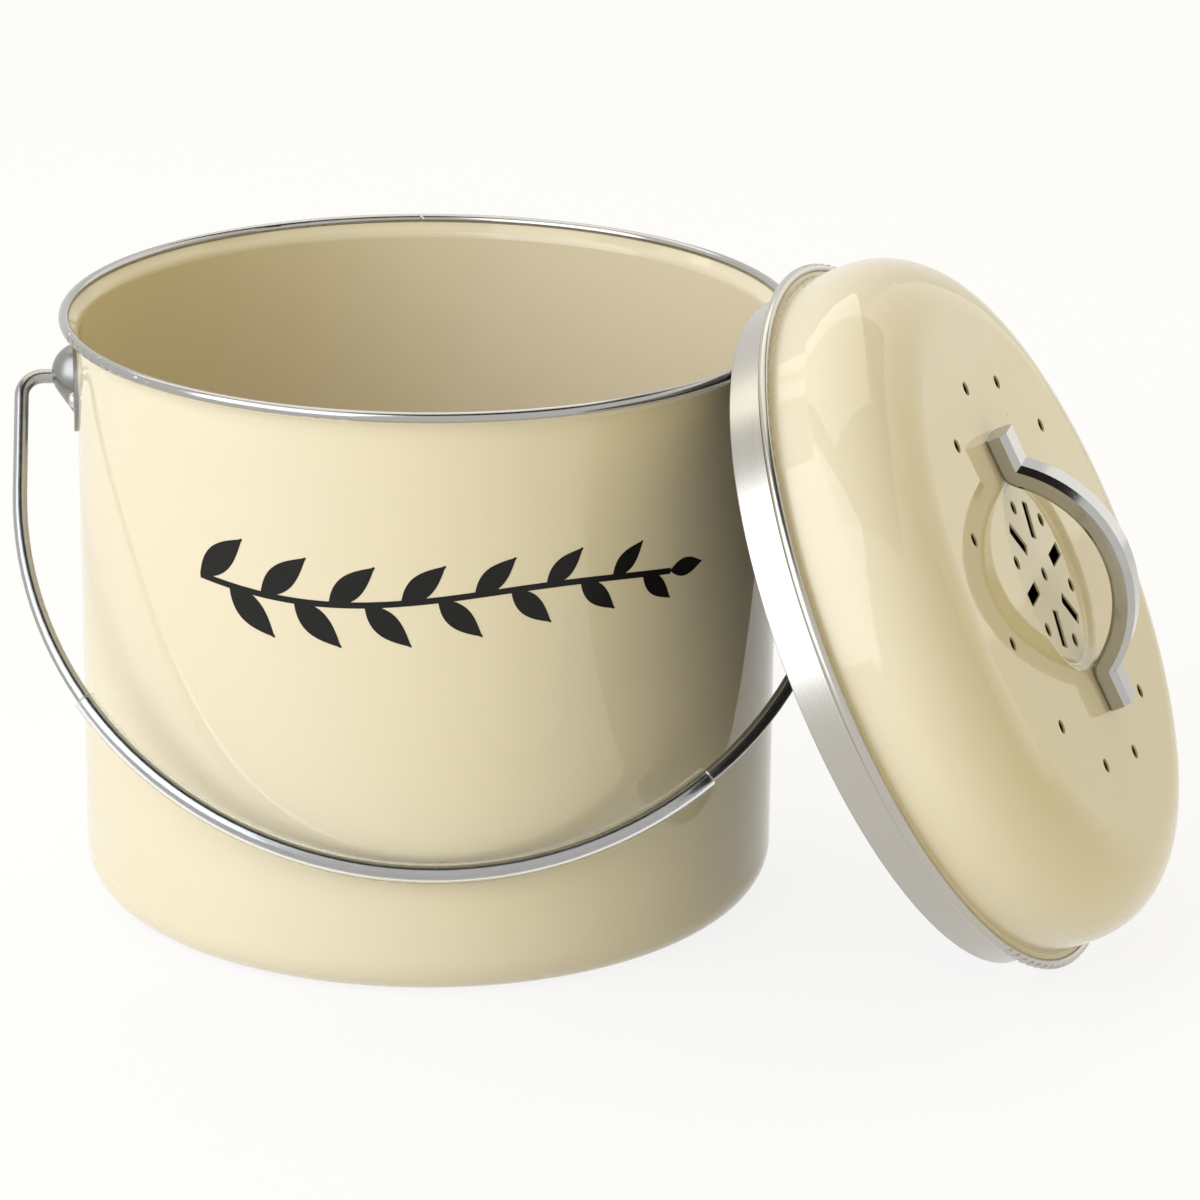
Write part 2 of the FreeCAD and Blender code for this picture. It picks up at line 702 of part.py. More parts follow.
def make_lid_dome(placement):
    """The enamelled dome: a foot held in the bead, a round shoulder and a flat top with a dished middle."""
    body = new_body("lid_dome")
    foot_end = f"{BEAD_X} - bead_diameter / 2 + dome_grip"
    foot_top = f"{DOME_FOOT_Z} + dome_thickness"
    inside = f"{DOME_RADIUS} - dome_thickness"
    dish_top, dish_under = f"{DOME_TOP_Z} - dish_depth", f"{DOME_INSIDE_Z} - dish_depth"
    outer_round = "dish_edge_radius + dome_thickness"
    turned(body, "dome_turning", [
        (inside, DOME_FOOT_Z),
        (foot_end, DOME_FOOT_Z),
        (foot_end, foot_top),
        (DOME_RADIUS, foot_top, "cove_radius"),
        (DOME_RADIUS, DOME_TOP_Z, "shoulder_radius"),
        (DISH_RADIUS, DOME_TOP_Z, outer_round),
        (DISH_FLOOR_RADIUS, dish_top, "dish_edge_radius"),
        ("0", dish_top),
        ("0", dish_under),
        (f"{DISH_FLOOR_RADIUS} + {DISH_STEP}", dish_under, outer_round),
        (f"{DISH_RADIUS} + {DISH_STEP}", DOME_INSIDE_Z, "dish_edge_radius"),
        (inside, DOME_INSIDE_Z, "shoulder_radius - dome_thickness"),
    ])
    cut_vents(body)
    for turn in (-1, 1):
        place = Placement(Vector(turn * size(SCREW_X), 0, 0), Rotation())
        side = "upper" if turn > 0 else "lower"
        drill(body, f"{side}_screw_hole", "screw_diameter / 2 + washer_play", DOME_TOP_Z, place)
    finish(body, "lid_dome", placement)


def cut_vents(body):
    """A hole in the middle, slots and holes about it, and a wide ring of holes outside the handle."""
    middle = new_sketch(body, "middle_vent", "XY_Plane")
    circle(middle, "0", "0", "vent_hole_diameter / 2")
    cut_through(body, middle, "middle_vent_cut")
    rows = (("ring", "vent_ring_diameter / 2", "vent_ring_count"),
            ("inner", "vent_inner_diameter / 2", "vent_inner_count"))
    for name, radius, count in rows:
        hole = new_sketch(body, f"{name}_vent", "XY_Plane")
        circle(hole, radius, "0", "vent_hole_diameter / 2")
        repeat_round(body, cut_through(body, hole, f"{name}_vent_cut"), hole, f"{name}_vents", count)
    slot = new_sketch(body, "slot_vent", "XY_Plane")
    near, far = "slot_inner_radius", "slot_inner_radius + slot_length"
    # The slots lie between the inner holes, half a step round
    step = f"({FULL_TURN} / vent_inner_count / 2)"

    def turned_point(outward, across):
        return (f"({outward}) * cos({step}) - ({across}) * sin({step})",
                f"({outward}) * sin({step}) + ({across}) * cos({step})", "slot_corner_radius")

    half = "slot_width / 2"
    outline(slot, [turned_point(near, f"-{half}"), turned_point(far, f"-{half}"),
                   turned_point(far, half), turned_point(near, half)])
    repeat_round(body, cut_through(body, slot, "slot_vent_cut"), slot, "slot_vents", "vent_inner_count")


def handle_path(body):
    """The underside of the bar: a foot, a bend, the arch, a bend and the other foot."""
    path = new_sketch(body, "handle_path", "XZ_Plane")
    half, bend, arch = size("handle_length / 2"), size("foot_bend_radius"), size("arch_radius")
    rise = size("handle_rise - bar_thickness")
    slope = math.acos(1 - rise / (arch + bend))
    foot = (arch + bend) * math.sin(slope)
    join = Vector(arch * math.sin(slope), rise - arch + arch * math.cos(slope), 0)
    mirrored = Vector(-join.x, join.y, 0)
    near_foot = add_line(path, Vector(-half, 0, 0), Vector(-foot, 0, 0))
    near_bend = add_arc(path, Vector(-foot, bend, 0), Vector(-foot, 0, 0), mirrored, True)
    over = add_arc(path, Vector(0, rise - arch, 0), mirrored, join, False)
    far_bend = add_arc(path, Vector(foot, bend, 0), join, Vector(foot, 0, 0), True)
    far_foot = add_line(path, Vector(foot, 0, 0), Vector(half, 0, 0))
    joints = (
        (near_foot, 2, near_bend[0], near_bend[1]), (near_bend[0], near_bend[2], over[0], over[1]),
        (over[0], over[2], far_bend[0], far_bend[1]), (far_bend[0], far_bend[2], far_foot, 1),
    )
    for joint in joints:
        tangent(path, *joint)
    pin_point(path, near_foot, 1, "-handle_length / 2", "0")
    pin_point(path, far_foot, 2, "handle_length / 2", "0")
    for line, position in ((near_foot, 2), (far_foot, 1)):
        path.addConstraint(Sketcher.Constraint("PointOnObject", line, position, -1))
    for arc in (near_bend[0], far_bend[0]):
        dimension(path, "Radius", arc, formula="foot_bend_radius")
    dimension(path, "Radius", over[0], formula="arch_radius")
    pin_point(path, over[0], 3, "0", "handle_rise - bar_thickness - arch_radius")
    return path


def make_lid_handle(placement):
    """A steel bar with bevelled edges, arched between two flat feet with blind tapped holes."""
    body = new_body("lid_handle")
    path = handle_path(body)
    section = new_sketch(body, "bar_section", "YZ_Plane", "-handle_length / 2")
    half, shoulder = "bar_width / 2", "bar_thickness - bar_bevel"
    outline(section, [
        (f"bar_under_bevel - {half}", "0"), (f"{half} - bar_under_bevel", "0"),
        (half, "bar_under_bevel"), (half, shoulder),
        (f"{half} - bar_bevel", "bar_thickness"), (f"bar_bevel - {half}", "bar_thickness"),
        (f"-{half}", shoulder), (f"-{half}", "bar_under_bevel"),
    ])
    swept(body, "bar_run", section, path)
    for side, turn in (("lower", -1), ("upper", 1)):
        place = Placement(Vector(turn * size(SCREW_X), 0, 0), Rotation())
        drill(body, f"{side}_tapped_hole", "screw_diameter / 2 + screw_play", "screw_depth", place)
    top = Placement(Vector(0, 0, size(DOME_TOP_Z)), Rotation())
    finish(body, "lid_handle", placement.multiply(top))


def make_handle_fixings(side, turn, placement):
    """A round-headed screw and its washer, put up through the dome into one foot of the handle."""
    seat = placement.multiply(Placement(Vector(turn * size(SCREW_X), 0, size(DOME_INSIDE_Z)), Rotation()))
    shank = "screw_diameter / 2"
    head = "screw_head_diameter / 2"
    head_foot = "-washer_thickness - screw_head_height"
    screw = new_body(f"{side}_handle_screw")
    turned(screw, f"{side}_screw_turning", [
        ("0", head_foot),
        (head, head_foot, "screw_head_edge_radius"),
        (head, "-washer_thickness"),
        (shank, "-washer_thickness"),
        (shank, "dome_thickness + screw_depth - screw_end_gap"),
        ("0", "dome_thickness + screw_depth - screw_end_gap"),
    ])
    finish(screw, f"{side}_handle_screw", seat)
    washer = new_body(f"{side}_handle_washer")
    turned(washer, f"{side}_washer_turning", [
        (f"{shank} + washer_play", "-washer_thickness"), ("washer_diameter / 2", "-washer_thickness"),
        ("washer_diameter / 2", "0"), (f"{shank} + washer_play", "0"),
    ])
    finish(washer, f"{side}_handle_washer", seat)


def make_charcoal_filter(placement):
    """A felt disc of charcoal that lies on the retainer, under the vents."""
    body = new_body("charcoal_filter")
    top = f"{FILTER_Z} + filter_thickness"
    turned(body, "filter_turning", [
        ("0", FILTER_Z), (FILTER_RADIUS, FILTER_Z, "filter_edge_radius"),
        (FILTER_RADIUS, top, "filter_edge_radius"), ("0", top),
    ])
    finish(body, "charcoal_filter", placement)


def make_filter_retainer(placement):
    """A plastic ring with spokes, sprung in behind the band's inner edge, that carries the filter."""
    body = new_body("filter_retainer")
    rim_inside = f"{RETAINER_RADIUS} - retainer_rim_width"
    hub = "retainer_hub_diameter / 2"
    hub_inside = f"{hub} - retainer_hub_width"
    turned(body, "retainer_rim", [
        (rim_inside, DOME_FOOT_Z), (RETAINER_RADIUS, DOME_FOOT_Z),
        (RETAINER_RADIUS, FILTER_Z), (rim_inside, FILTER_Z),
    ])
    spoke = new_sketch(body, "spoke_outline", "XY_Plane", DOME_FOOT_Z)
    side = "retainer_spoke_width / 2"
    spoke_start, spoke_end = f"{hub} - retainer_hub_width / 2", f"{rim_inside} + retainer_rim_width / 2"
    outline(spoke, [
        (spoke_start, f"-{side}"), (spoke_end, f"-{side}"), (spoke_end, side), (spoke_start, side),
    ])
    pad = body.newObject("PartDesign::Pad", "spoke")
    pad.Profile = spoke
    bind(pad, "Length", "retainer_thickness")
    doc.recompute()
    repeat_round(body, pad, spoke, "spokes", "retainer_spoke_count")
    turned(body, "retainer_hub", [
        (hub_inside, DOME_FOOT_Z), (hub, DOME_FOOT_Z), (hub, FILTER_Z), (hub_inside, FILTER_Z),
    ])
    finish(body, "filter_retainer", placement)


def build():
    make_bin_shell()
    make_rim_trim()
    for side, turn in (("right", 0.0), ("left", HALF_TURN)):
        make_bail_ear(side, turn)
    for name, direction in rivet_directions():
        make_rivet(name, direction)
    hanging = bail_placement()
    make_bail_wire(hanging)
    make_grip_sleeve(hanging)
    leaning = lid_placement(hanging)
    make_lid_band(leaning)
    make_lid_dome(leaning)
    make_lid_handle(leaning)
    for side, turn in (("upper", 1), ("lower", -1)):
        make_handle_fixings(side, turn, leaning)
    make_charcoal_filter(leaning)
    make_filter_retainer(leaning)
    doc.recompute()


def check_and_write():
    """Stop if anything failed to build, then write one file for each sub-part."""
    for item in doc.Objects:
        if {"Invalid", "Error"} & set(item.State):
            raise RuntimeError(f"{item.Label} did not build: {item.State}")
    for item in parts:
        if item.Shape.isNull() or not item.Shape.isValid() or not item.Shape.Solids:
            raise RuntimeError(f"{item.Label} has no valid solid")
    os.makedirs("parts", exist_ok=True)
    for item in parts:
        item.Shape.exportStep(os.path.join("parts", f"{item.Label}.step"))
        print(f"{item.Label}: {len(item.Shape.Solids)} solid, {item.Shape.Volume:.0f} mm3")


build()
check_and_write()
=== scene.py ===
"""Looks of the kitchen compost bin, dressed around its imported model.  Lengths are in metres.

The solids of the frame keep their shapes and get their materials here.  Two pieces are made in
mesh code: the charcoal felt inside the lid and the leaf sprig printed on the front of the pail.
"""
import json
import math
from typing import NamedTuple

import bmesh
import bpy
from mathutils import Matrix, Vector, noise


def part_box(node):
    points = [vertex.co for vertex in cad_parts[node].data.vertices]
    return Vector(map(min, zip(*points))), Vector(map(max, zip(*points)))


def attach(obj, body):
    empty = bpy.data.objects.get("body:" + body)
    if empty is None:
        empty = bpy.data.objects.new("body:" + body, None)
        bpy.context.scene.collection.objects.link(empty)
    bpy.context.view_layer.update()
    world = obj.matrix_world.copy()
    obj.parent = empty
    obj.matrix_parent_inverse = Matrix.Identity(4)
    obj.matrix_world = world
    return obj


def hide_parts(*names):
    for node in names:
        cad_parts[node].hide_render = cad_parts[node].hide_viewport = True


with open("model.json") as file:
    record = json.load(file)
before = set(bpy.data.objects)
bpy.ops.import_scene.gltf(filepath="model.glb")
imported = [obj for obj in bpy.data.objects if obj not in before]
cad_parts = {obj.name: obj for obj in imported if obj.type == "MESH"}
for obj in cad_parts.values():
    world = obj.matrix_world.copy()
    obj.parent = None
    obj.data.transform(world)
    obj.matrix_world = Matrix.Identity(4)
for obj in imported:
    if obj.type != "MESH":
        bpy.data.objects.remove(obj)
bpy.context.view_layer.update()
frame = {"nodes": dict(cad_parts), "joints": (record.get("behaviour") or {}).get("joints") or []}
NODES = frame["nodes"]
JOINTS = {joint["name"]: joint for joint in frame["joints"]}
MILLIMETRE = 0.001


def middle_of(node):
    """The middle of a node's box at rest."""
    low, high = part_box(node)
    return (low + high) / 2


def frame_matrix(origin, along_x, along_z):
    """The placement of a frame from its origin, its X axis and its Z axis."""
    along_y = along_z.cross(along_x)
    turn = Matrix((along_x, along_y, along_z)).transposed()
    return Matrix.Translation(origin) @ turn.to_4x4()


# The lid's own frame: its middle lies in the filter, Z along its axis and X up along its handle
LID_AXIS = Vector(JOINTS["lid_lift"]["axis"]).normalized()
LID_MIDDLE = middle_of("charcoal_filter")
LID_UPSLOPE = (middle_of("upper_handle_screw") - middle_of("lower_handle_screw")).normalized()
LID_FRAME = frame_matrix(LID_MIDDLE, LID_UPSLOPE, LID_AXIS)
PAIL_FRAME = Matrix.Identity(4)

# Camera, fitted to the photograph: a long lens, a little above the rim.  Angles are in radians,
# and the lens and the sensor's width are in millimetres
CAMERA_PLACE = Vector((-0.0320, -1.3380, 0.5434))
CAMERA_YAW = 0.0600
CAMERA_PITCH = 0.3326
CAMERA_ROLL = 0.0118
CAMERA_LENS = 149.96
CAMERA_SENSOR = 36.0


def make_camera():
    """The scene's camera, at the photograph's viewing angle."""
    forward = Vector((
        math.sin(CAMERA_YAW) * math.cos(CAMERA_PITCH),
        math.cos(CAMERA_YAW) * math.cos(CAMERA_PITCH),
        -math.sin(CAMERA_PITCH),
    ))
    level = Vector((math.cos(CAMERA_YAW), -math.sin(CAMERA_YAW), 0))
    upward = level.cross(forward)
    right = level * math.cos(CAMERA_ROLL) + upward * math.sin(CAMERA_ROLL)
    data = bpy.data.cameras.new("camera")
    data.lens = CAMERA_LENS
    data.sensor_width = CAMERA_SENSOR
    data.sensor_fit = "HORIZONTAL"
    camera = bpy.data.objects.new("camera", data)
    camera.matrix_world = frame_matrix(CAMERA_PLACE, right, -forward)
    bpy.context.scene.collection.objects.link(camera)
    bpy.context.scene.camera = camera


# Materials.  The scale of a noise or of a cell pattern is a count per metre

ROUNDING_SAMPLES = 8


def colour(red, green, blue):
    """An opaque colour, in linear values."""
    return (red, green, blue, 1.0)


def grey(shade):
    """An opaque grey, in linear values."""
    return colour(shade, shade, shade)


class Graph:
    """A material with one Principled shader, and short ways to add nodes to it."""

    def __init__(self, name, **sockets):
        self.material = bpy.data.materials.new(name)
        self.material.use_nodes = True
        self.tree = self.material.node_tree
        self.shader = self.tree.nodes["Principled BSDF"]
        for socket, value in sockets.items():
            self.shader.inputs[socket.replace("_", " ")].default_value = value

    def feed(self, socket, value):
        """Link a source to a socket, or give the socket a fixed value."""
        if isinstance(value, bpy.types.NodeSocket):
            self.tree.links.new(value, socket)
        else:
            socket.default_value = value

    def add(self, kind, inputs=None, **settings):
        """A new node with its inputs linked or set."""
        node = self.tree.nodes.new(f"ShaderNode{kind}")
        for name, value in settings.items():
            setattr(node, name, value)
        for name, value in (inputs or {}).items():
            self.feed(node.inputs[name], value)
        return node

    def math(self, operation, first, second=0.0):
        """The result of a sum on one or two values."""
        return self.add("Math", {0: first, 1: second}, operation=operation).outputs[0]

    def local(self, placement=PAIL_FRAME):
        """Coordinates of the resting object, seen from a frame."""
        place = self.add("TexCoord").outputs["Object"]
        inputs = {
            "Vector": place,
            "Location": placement.to_translation(),
            "Rotation": placement.to_euler(),
        }
        return self.add("Mapping", inputs, vector_type="TEXTURE").outputs["Vector"]

    def stretched(self, vector, scale):
        """Coordinates with a scale of their own along each axis."""
        return self.add("Mapping", {"Vector": vector, "Scale": scale}).outputs["Vector"]

    def around(self, placement):
        """Coordinates round a frame's axis: angle, height and radius."""
        parts = self.add("SeparateXYZ", {0: self.local(placement)}).outputs
        angle = self.math("ARCTAN2", parts["Y"], parts["X"])
        squares = [self.math("MULTIPLY", parts[axis], parts[axis]) for axis in "XY"]
        radius = self.math("SQRT", self.math("ADD", *squares))
        return self.add("CombineXYZ", {"X": angle, "Y": parts["Z"], "Z": radius}).outputs[0]

    def noise(self, vector, scale=1.0, detail=3.0, roughness=0.5):
        """Cloudy noise from 0 to 1."""
        inputs = {"Vector": vector, "Scale": scale, "Detail": detail, "Roughness": roughness}
        return self.add("TexNoise", inputs).outputs["Fac"]

    def blend(self, factor, first, second):
        """A colour that runs from the first to the second with a factor."""
        node = self.add("Mix", {"Factor": factor}, data_type="RGBA")
        for name, value in (("A_Color", first), ("B_Color", second)):
            self.feed(next(item for item in node.inputs if item.identifier == name), value)
        return next(item for item in node.outputs if item.identifier == "Result_Color")

    def paint_with(self, source):
        """Drive the shader's colour."""
        self.feed(self.shader.inputs["Base Color"], source)

    def roughen(self, factor, low, high):
        """Drive the shader's roughness from low to high with a factor."""
        varied = self.add("MapRange", {"Value": factor, "To Min": low, "To Max": high})
        socket = self.shader.inputs["Roughness"]
        socket.default_value = (low + high) / 2
        self.feed(socket, varied.outputs["Result"])

    def bump(self, height, distance, strength, rounding=0.0):
        """Drive the shader's normal, with the facets of a round solid smoothed over a radius."""
        inputs = {"Height": height, "Distance": distance, "Strength": strength}
        if rounding:
            smoothed = self.add("Bevel", {"Radius": rounding}, samples=ROUNDING_SAMPLES)
            inputs["Normal"] = smoothed.outputs["Normal"]
        self.feed(self.shader.inputs["Normal"], self.add("Bump", inputs).outputs["Normal"])


# Cream enamel
ENAMEL_DEEP = colour(0.735, 0.664, 0.548)
ENAMEL_PALE = colour(0.770, 0.704, 0.588)
ENAMEL_PIT = colour(0.42, 0.32, 0.16)
ENAMEL_REFRACTION = 1.45
ENAMEL_ROUGHNESS = (0.020, 0.050)
ENAMEL_CLOUDS = 9.0
ENAMEL_GLOSS_PATCHES = 34.0
ENAMEL_PIT_CELLS = 120.0
PIT_REACH_SHARE = 0.045
PLAIN_CELLS_SHARE = 0.985
PEEL_SCALE = 190.0
PEEL_DETAIL = 2.0
PEEL_DEPTH = 0.3 * MILLIMETRE
PEEL_STRENGTH = 0.02


def make_enamel():
    """Glossy cream enamel: faint clouds of colour, pin-holes here and there and a slight orange peel."""
    graph = Graph("cream_enamel", IOR=ENAMEL_REFRACTION)
    place = graph.local()
    cream = graph.blend(graph.noise(place, ENAMEL_CLOUDS), ENAMEL_DEEP, ENAMEL_PALE)
    cells = graph.add("TexVoronoi", {"Vector": place, "Scale": ENAMEL_PIT_CELLS}).outputs
    near = graph.math("LESS_THAN", cells["Distance"], PIT_REACH_SHARE)
    draw = graph.add("SeparateColor", {0: cells["Color"]}).outputs[0]
    rare = graph.math("GREATER_THAN", draw, PLAIN_CELLS_SHARE)
    graph.paint_with(graph.blend(graph.math("MULTIPLY", near, rare), cream, ENAMEL_PIT))
    graph.roughen(graph.noise(place, ENAMEL_GLOSS_PATCHES), *ENAMEL_ROUGHNESS)
    graph.bump(graph.noise(place, PEEL_SCALE, PEEL_DETAIL), PEEL_DEPTH, PEEL_STRENGTH)
    return graph.material


# Drawn and brushed steel
class Steel(NamedTuple):
    """Steel with fine lines: how fast these change along each of the coordinates, and their depth."""
    name: str
    tint: tuple
    lines: tuple
    roughness: tuple
    relief: float
    rounding: float = 0.0


BAND_STEEL = Steel(
    name="brushed_band_steel", tint=(0.53, 0.505, 0.455), lines=(1.2, 2600.0, 300.0),
    roughness=(0.16, 0.34), relief=0.05 * MILLIMETRE, rounding=0.5 * MILLIMETRE,
)
TRIM_STEEL = Steel(
    name="polished_trim_steel", tint=(0.44, 0.43, 0.41), lines=(1.0, 500.0, 300.0),
    roughness=(0.10, 0.20), relief=0.01 * MILLIMETRE, rounding=0.8 * MILLIMETRE,
)
BAR_STEEL = Steel(
    name="polished_bar_steel", tint=(0.48, 0.475, 0.455), lines=(14.0, 1700.0, 1700.0),
    roughness=(0.07, 0.17), relief=0.03 * MILLIMETRE,
)
WIRE_STEEL = Steel(
    name="drawn_wire_steel", tint=(0.42, 0.415, 0.40), lines=(260.0, 260.0, 260.0),
    roughness=(0.14, 0.30), relief=0.04 * MILLIMETRE,
)
LINES_DETAIL = 4.0
LINES_ROUGHNESS = 0.6
LINES_STRENGTH = 0.25
LINES_DARK_SHARE = 0.88
STEEL_CLOUDS = 22.0
LINES_WEAR_SHARE = 0.7
CLOUDS_WEAR_SHARE = 0.3


def make_steel(steel, coordinates):
    """A steel with its lines drawn along the first of the coordinates that a function gives."""
    graph = Graph(steel.name, Metallic=1.0)
    vector = graph.stretched(coordinates(graph), steel.lines)
    lines = graph.noise(vector, detail=LINES_DETAIL, roughness=LINES_ROUGHNESS)
    clouds = graph.noise(graph.local(), STEEL_CLOUDS)
    dark = [LINES_DARK_SHARE * part for part in steel.tint]
    graph.paint_with(graph.blend(lines, colour(*dark), colour(*steel.tint)))
    wear = [graph.math("MULTIPLY", source, share)
            for source, share in ((lines, LINES_WEAR_SHARE), (clouds, CLOUDS_WEAR_SHARE))]
    graph.roughen(graph.math("ADD", *wear), *steel.roughness)
    graph.bump(lines, steel.relief, LINES_STRENGTH, steel.rounding)
    return graph.material


# Pressed steel
class PressedSteel(NamedTuple):
    """Steel with a cloudy surface."""
    name: str
    tint: tuple
    roughness: tuple


EAR_STEEL = PressedSteel(name="pressed_ear_steel", tint=(0.34, 0.33, 0.315), roughness=(0.26, 0.44))
RIVET_STEEL = PressedSteel(name="bright_rivet_steel", tint=(0.80, 0.79, 0.77), roughness=(0.14, 0.28))
ZINC_STEEL = PressedSteel(name="zinc_fixing_steel", tint=(0.64, 0.65, 0.64), roughness=(0.28, 0.42))
PRESSED_CLOUDS = 160.0
PRESSED_DETAIL = 5.0
PRESSED_ROUGHNESS = 0.65
PRESSED_DARK_SHARE = 0.72
PITS_SCALE = 700.0
PITS_DETAIL = 4.0
PITS_DEPTH = 0.15 * MILLIMETRE
PITS_STRENGTH = 0.3


def make_pressed_steel(steel):
    """Pressed steel with a cloudy, slightly pitted surface."""
    graph = Graph(steel.name, Metallic=1.0)
    place = graph.local()
    clouds = graph.noise(place, PRESSED_CLOUDS, PRESSED_DETAIL, PRESSED_ROUGHNESS)
    dark = [PRESSED_DARK_SHARE * part for part in steel.tint]
    graph.paint_with(graph.blend(clouds, colour(*dark), colour(*steel.tint)))
    graph.roughen(clouds, *steel.roughness)
    graph.bump(graph.noise(place, PITS_SCALE, PITS_DETAIL), PITS_DEPTH, PITS_STRENGTH)
    return graph.material


# Clear tube
TUBE_HAZY = colour(0.93, 0.94, 0.95)
TUBE_CLEAR = colour(0.98, 0.99, 1.0)
TUBE_REFRACTION = 1.45
TUBE_ROUGHNESS = (0.01, 0.05)
TUBE_HAZE = 45.0
TUBE_RIPPLES = 320.0
TUBE_RIPPLE_DEPTH = 0.1 * MILLIMETRE
TUBE_RIPPLE_STRENGTH = 0.08


def make_clear_tube():
    """Clear soft plastic, a little cloudy along its length."""
    graph = Graph("clear_tube", Transmission_Weight=1.0, IOR=TUBE_REFRACTION)
    place = graph.local()
    haze = graph.noise(place, TUBE_HAZE)
    graph.paint_with(graph.blend(haze, TUBE_HAZY, TUBE_CLEAR))
    graph.roughen(haze, *TUBE_ROUGHNESS)
    graph.bump(graph.noise(place, TUBE_RIPPLES), TUBE_RIPPLE_DEPTH, TUBE_RIPPLE_STRENGTH)
    return graph.material


# Charcoal felt
FELT_DARK = colour(0.012, 0.012, 0.013)
FELT_PALE = colour(0.085, 0.085, 0.09)
FELT_SHEEN = 0.25
FELT_SHEEN_ROUGHNESS = 0.5
FELT_ROUGHNESS = (0.85, 1.0)
FIBRE_STRETCH = (900.0, 300.0, 500.0)
FIBRE_DETAIL = 6.0
FIBRE_ROUGHNESS = 0.7
FIBRE_DEPTH = 0.5 * MILLIMETRE
FIBRE_STRENGTH = 0.8
FELT_GRAINS = 420.0


def make_felt():
    """Charcoal felt: matted dark fibres with paler grains."""
    graph = Graph("charcoal_felt", Sheen_Weight=FELT_SHEEN, Sheen_Roughness=FELT_SHEEN_ROUGHNESS)
    place = graph.local()
    along = graph.stretched(place, FIBRE_STRETCH)
    fibres = graph.noise(along, detail=FIBRE_DETAIL, roughness=FIBRE_ROUGHNESS)
    grains = graph.noise(place, FELT_GRAINS)
    graph.paint_with(graph.blend(graph.math("MULTIPLY", fibres, grains), FELT_DARK, FELT_PALE))
    graph.roughen(grains, *FELT_ROUGHNESS)
    graph.bump(fibres, FIBRE_DEPTH, FIBRE_STRENGTH)
    return graph.material


# Black plastic
PLASTIC_DARK = colour(0.020, 0.020, 0.021)
PLASTIC_PALE = colour(0.034, 0.034, 0.035)
PLASTIC_ROUGHNESS = (0.38, 0.55)
SPARK_SCALE = 1500.0
SPARK_DETAIL = 2.0
SPARK_DEPTH = 0.1 * MILLIMETRE
SPARK_STRENGTH = 0.3


def make_plastic():
    """Matt black moulded plastic with a fine spark texture."""
    graph = Graph("black_plastic")
    grain = graph.noise(graph.local(), SPARK_SCALE, SPARK_DETAIL)
    graph.paint_with(graph.blend(grain, PLASTIC_DARK, PLASTIC_PALE))
    graph.roughen(grain, *PLASTIC_ROUGHNESS)
    graph.bump(grain, SPARK_DEPTH, SPARK_STRENGTH)
    return graph.material


# Print ink
INK_DARK = colour(0.004, 0.004, 0.004)
INK_PALE = colour(0.009, 0.008, 0.008)
INK_SPECULAR = 0.25
INK_ROUGHNESS = (0.30, 0.50)
MOTTLE_SCALE = 260.0
MOTTLE_DETAIL = 4.0
MOTTLE_DEPTH = 0.05 * MILLIMETRE
MOTTLE_STRENGTH = 0.1


def make_print_ink():
    """Black screen print, fired on: slightly uneven in gloss."""
    graph = Graph("print_ink", Specular_IOR_Level=INK_SPECULAR)
    mottle = graph.noise(graph.local(), MOTTLE_SCALE, MOTTLE_DETAIL)
    graph.paint_with(graph.blend(mottle, INK_DARK, INK_PALE))
    graph.roughen(mottle, *INK_ROUGHNESS)
    graph.bump(mottle, MOTTLE_DEPTH, MOTTLE_STRENGTH)
    return graph.material


def paint(material, *names):
    """Give CAD nodes a material."""
    for name in names:
        mesh = NODES[name].data
        mesh.materials.clear()
        mesh.materials.append(material)


def nodes_ending(*endings):
    """The names of the nodes that end in one of some words."""
    return [name for name in NODES if name.endswith(endings)]


def paint_nodes():
    """Give every CAD node that shows its material."""
    paint(make_enamel(), "bin_shell", "lid_dome")
    paint(make_steel(BAND_STEEL, lambda graph: graph.around(LID_FRAME)), "lid_band")
    paint(make_steel(TRIM_STEEL, lambda graph: graph.around(PAIL_FRAME)), "rim_trim")
    paint(make_steel(BAR_STEEL, lambda graph: graph.local(LID_FRAME)), "lid_handle")
    paint(make_steel(WIRE_STEEL, lambda graph: graph.local()), "bail_wire")
    paint(make_pressed_steel(EAR_STEEL), *nodes_ending("bail_ear"))
    paint(make_pressed_steel(RIVET_STEEL), *nodes_ending("rivet"))
    paint(make_pressed_steel(ZINC_STEEL), *nodes_ending("handle_screw", "handle_washer"))
    paint(make_clear_tube(), "grip_sleeve")
    paint(make_plastic(), "filter_retainer")


# Pieces made in mesh code

def new_piece(name, builder, material, body):
    """Turn a finished bmesh into a piece that rides on a body."""
    mesh = bpy.data.meshes.new(name)
    bmesh.ops.recalc_face_normals(builder, faces=builder.faces)
    builder.to_mesh(mesh)
    builder.free()
    mesh.materials.append(material)
    piece = bpy.data.objects.new(name, mesh)
    bpy.context.scene.collection.objects.link(piece)
    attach(piece, body)
    return piece


FELT_RADIUS = 93.6 * MILLIMETRE
FELT_HALF_THICKNESS = 3.7 * MILLIMETRE
FELT_EDGE = 2.4 * MILLIMETRE
FELT_RINGS = 46
FELT_SPOKES = 200
FELT_EDGE_STEPS = 5
FELT_FUZZ = 0.25 * MILLIMETRE
FELT_FUZZ_SCALE = 420.0


